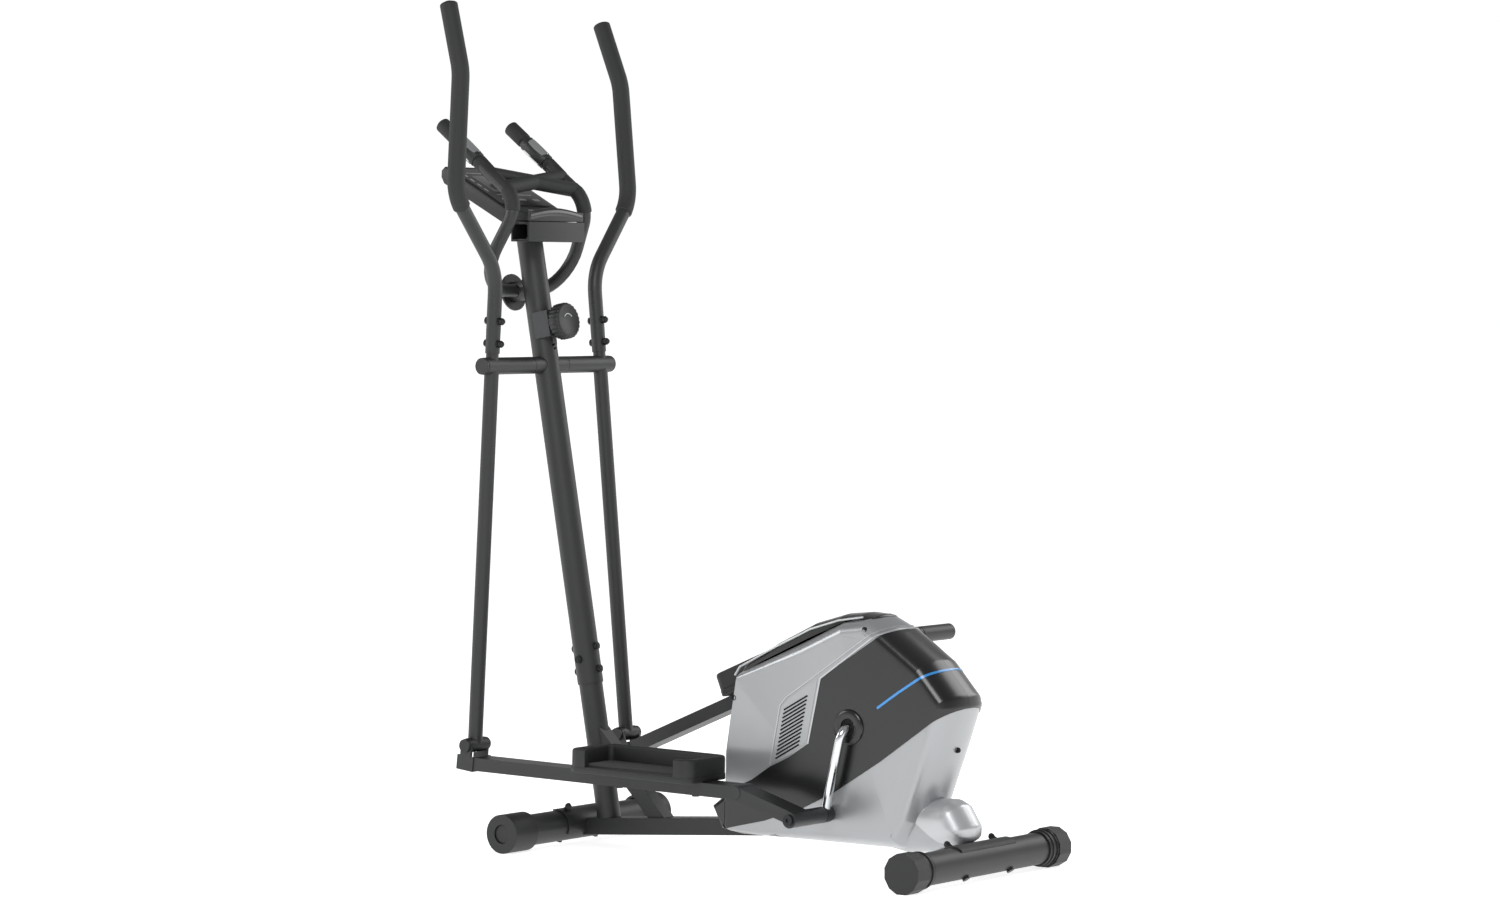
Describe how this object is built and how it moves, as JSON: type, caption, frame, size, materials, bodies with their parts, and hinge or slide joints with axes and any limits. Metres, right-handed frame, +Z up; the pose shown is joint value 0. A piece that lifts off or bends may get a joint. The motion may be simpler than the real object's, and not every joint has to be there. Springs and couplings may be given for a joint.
{
  "type": "elliptical trainer",
  "caption": "Upright elliptical trainer with swinging handlebars, long pedal arms, a rear crank and flywheel housing, a console and fixed pulse grips.",
  "frame": {"origin": "on the floor, under the middle of the whole machine's footprint", "axes": "+X from the mast towards the crank housing, +Y to the right of a user who faces the console, +Z up"},
  "size_m": [1.2384, 0.62, 1.6089],
  "materials": {
    "black_steel": "satin dark grey powder coat",
    "zinc_bolts": "zinc-plated",
    "chrome_steel": "polished",
    "plain_steel": "bright steel",
    "flywheel_iron": "machined rim",
    "matte_black_plastic": "moulded grain",
    "silver_plastic": "silver-grey satin",
    "gloss_black_plastic": "glossy",
    "grey_plastic": "satin",
    "foam": "soft foam",
    "black_rubber": "matt"
  },
  "bodies": {
    "frame": {"base_beam": "black_steel", "lower_post": "black_steel", "post_brace": "black_steel", "mast": "black_steel", "mast_bolts": "zinc_bolts", "front_stabiliser": "black_steel", "front_axle_plugs": "matte_black_plastic", "rear_stabiliser": "black_steel", "levelling_sleeves": "matte_black_plastic", "stabiliser_bolts": "zinc_bolts", "drive_mount": "black_steel", "crank_bearings": "plain_steel", "drive_belt": "black_rubber", "pivot_axle": "black_steel", "pivot_collar": "black_steel", "handlebar_clamp": "black_steel", "clamp_cover": "matte_black_plastic", "fixed_handlebar": "black_steel", "fixed_grips": "foam", "pulse_sensors": "chrome_steel", "console_case": "matte_black_plastic", "console_lens": "gloss_black_plastic", "console_tray": "matte_black_plastic", "tension_saddle": "plain_steel", "tension_cable": "black_rubber", "shell_left": "silver_plastic", "shell_right": "silver_plastic", "panel_left": "gloss_black_plastic", "panel_right": "gloss_black_plastic", "top_cover": "gloss_black_plastic", "nose_cover": "gloss_black_plastic", "tail_fairing": "silver_plastic"},
    "swing_left": {"swing_arm_left": "black_steel", "handlebar_left": "black_steel", "grip_left": "foam", "handle_bolts_left": "zinc_bolts"},
    "pedal_arm_assembly_left": {"pedal_arm_left": "black_steel", "pedal_left": "matte_black_plastic", "clevis_pin_left": "matte_black_plastic", "crank_pin_left": "zinc_bolts"},
    "roller_left": {"front_roller_left": "matte_black_plastic"},
    "cap_left": {"levelling_cap_left": "matte_black_plastic"},
    "swing_right": {"swing_arm_right": "black_steel", "handlebar_right": "black_steel", "grip_right": "foam", "handle_bolts_right": "zinc_bolts"},
    "pedal_arm_assembly_right": {"pedal_arm_right": "black_steel", "pedal_right": "matte_black_plastic", "clevis_pin_right": "matte_black_plastic", "crank_pin_right": "zinc_bolts"},
    "roller_right": {"front_roller_right": "matte_black_plastic"},
    "cap_right": {"levelling_cap_right": "matte_black_plastic"},
    "crank_set": {"crank": "chrome_steel", "drive_pulley": "matte_black_plastic", "crank_caps": "matte_black_plastic"},
    "flywheel_set": {"flywheel": "flywheel_iron"},
    "magnets": {"magnet_bracket": "plain_steel"},
    "knob": {"tension_knob": "matte_black_plastic"},
    "mode_button": {"button_mode": "grey_plastic"},
    "reset_button": {"button_reset": "grey_plastic"}
  },
  "joints": [
    {"name": "swing_left_pivot", "type": "hinge", "parent": "frame", "child": "swing_left", "pos_m": [-0.42825, -0.165, 0.919], "axis": [0, 1, 0], "range_deg": [-15.87, 0]},
    {"name": "swing_right_pivot", "type": "hinge", "parent": "frame", "child": "swing_right", "pos_m": [-0.42825, 0.165, 0.919], "axis": [0, 1, 0], "range_deg": [-0.5, 19.27]},
    {"name": "pedal_arm_left_pivot", "type": "hinge", "parent": "swing_left", "child": "pedal_arm_assembly_left", "pos_m": [-0.47219, -0.165, 0.19333], "axis": [0, 1, 0], "range_deg": [-0.5, 6.42]},
    {"name": "pedal_arm_right_pivot", "type": "hinge", "parent": "swing_right", "child": "pedal_arm_assembly_right", "pos_m": [-0.36375, 0.165, 0.19487], "axis": [0, 1, 0], "range_deg": [-6.61, 0.5]},
    {"name": "crank_axle", "type": "hinge", "parent": "frame", "child": "crank_set", "pos_m": [0.33675, 0, 0.267], "axis": [0, 1, 0], "continuous": true},
    {"name": "flywheel_shaft", "type": "hinge", "parent": "frame", "child": "flywheel_set", "pos_m": [0.16975, 0, 0.2], "axis": [0, 1, 0], "continuous": true},
    {"name": "tension_knob_turn", "type": "hinge", "parent": "frame", "child": "knob", "pos_m": [-0.44148, 0, 0.994], "axis": [0.9848, 0, 0.1736], "range_deg": [0, 300]},
    {"name": "magnet_bracket_pivot", "type": "hinge", "parent": "frame", "child": "magnets", "pos_m": [0.08375, 0, 0.283], "axis": [0, 1, 0], "range_deg": [0, 2.5]},
    {"name": "roller_left_spin", "type": "hinge", "parent": "frame", "child": "roller_left", "pos_m": [-0.34525, -0.2055, 0.037], "axis": [0, 1, 0], "continuous": true},
    {"name": "levelling_cap_left_turn", "type": "hinge", "parent": "frame", "child": "cap_left", "pos_m": [0.57875, -0.231, 0.037], "axis": [0, 1, 0], "range_deg": [0, 180]},
    {"name": "roller_right_spin", "type": "hinge", "parent": "frame", "child": "roller_right", "pos_m": [-0.34525, 0.2055, 0.037], "axis": [0, 1, 0], "continuous": true},
    {"name": "levelling_cap_right_turn", "type": "hinge", "parent": "frame", "child": "cap_right", "pos_m": [0.57875, 0.231, 0.037], "axis": [0, 1, 0], "range_deg": [0, 180]},
    {"name": "button_mode_press", "type": "slide", "parent": "frame", "child": "mode_button", "axis": [0.0922, 0, 0.9957], "range_m": [-0.0012, 0], "stiffness_N_per_m": 300},
    {"name": "button_reset_press", "type": "slide", "parent": "frame", "child": "reset_button", "axis": [0.0922, 0, 0.9957], "range_m": [-0.0012, 0], "stiffness_N_per_m": 300}
  ],
  "couplings": [
    {"joint": "swing_right_pivot", "follows": "swing_left_pivot", "ratio": -1.1831},
    {"joint": "pedal_arm_left_pivot", "follows": "swing_left_pivot", "ratio": -0.3729},
    {"joint": "pedal_arm_right_pivot", "follows": "swing_left_pivot", "ratio": 0.38478},
    {"joint": "crank_axle", "follows": "swing_left_pivot", "ratio": 6.3024},
    {"joint": "flywheel_shaft", "follows": "swing_left_pivot", "ratio": 46.48},
    {"joint": "magnet_bracket_pivot", "follows": "tension_knob_turn", "ratio": 0.008333}
  ]
}
